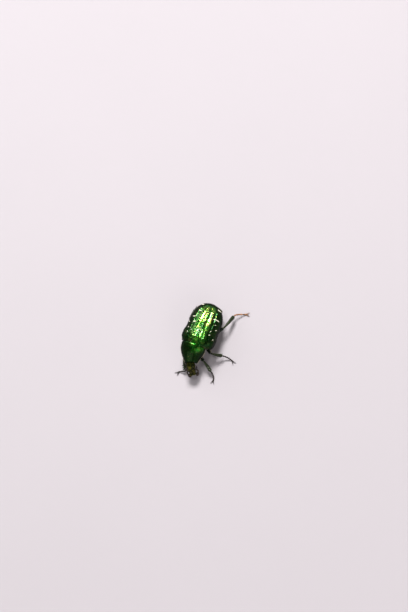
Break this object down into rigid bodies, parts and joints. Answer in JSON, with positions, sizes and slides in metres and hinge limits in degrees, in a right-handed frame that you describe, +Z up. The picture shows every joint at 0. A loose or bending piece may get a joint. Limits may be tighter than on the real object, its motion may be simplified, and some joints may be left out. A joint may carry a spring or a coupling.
{
  "type": "rose chafer beetle model",
  "caption": "Still life-size model of a metallic green rose chafer standing on its feet, wing cases closed, head lowered and turned a little to its left.",
  "frame": {"origin": "middle of the outline, at the level of the floor under the feet", "axes": "+Z up, +Y towards the tail, +X towards the animal's left side, so the head points to -Y"},
  "size_m": [0.0158, 0.0222, 0.0085],
  "materials": {
    "green_shell": "metallic green, polished",
    "copper_belly": "green bronze, with fine pale hairs",
    "leg": "very dark green, glossy",
    "eye": "black brown, glossy",
    "feeler": "dark brown, satin"
  },
  "bodies": {
    "root": {"abdomen": "copper_belly", "antenna_left": "feeler", "antenna_right": "feeler", "coxa_front_left": "leg", "coxa_front_right": "leg", "coxa_middle_left": "leg", "coxa_middle_right": "leg", "coxa_rear_left": "leg", "coxa_rear_right": "leg", "elytron_left": "green_shell", "elytron_right": "green_shell", "eye_left": "eye", "eye_right": "eye", "femur_front_left": "leg", "femur_front_right": "leg", "femur_middle_left": "leg", "femur_middle_right": "leg", "femur_rear_left": "leg", "femur_rear_right": "leg", "head": "green_shell", "mouthparts": "feeler", "prothorax": "green_shell", "pygidium": "green_shell", "scutellum": "green_shell", "tarsus_front_left": "leg", "tarsus_front_right": "leg", "tarsus_middle_left": "leg", "tarsus_middle_right": "leg", "tarsus_rear_left": "leg", "tarsus_rear_right": "leg", "thorax": "copper_belly", "tibia_front_left": "leg", "tibia_front_right": "leg", "tibia_middle_left": "leg", "tibia_middle_right": "leg", "tibia_rear_left": "leg", "tibia_rear_right": "leg"}
  },
  "joints": []
}
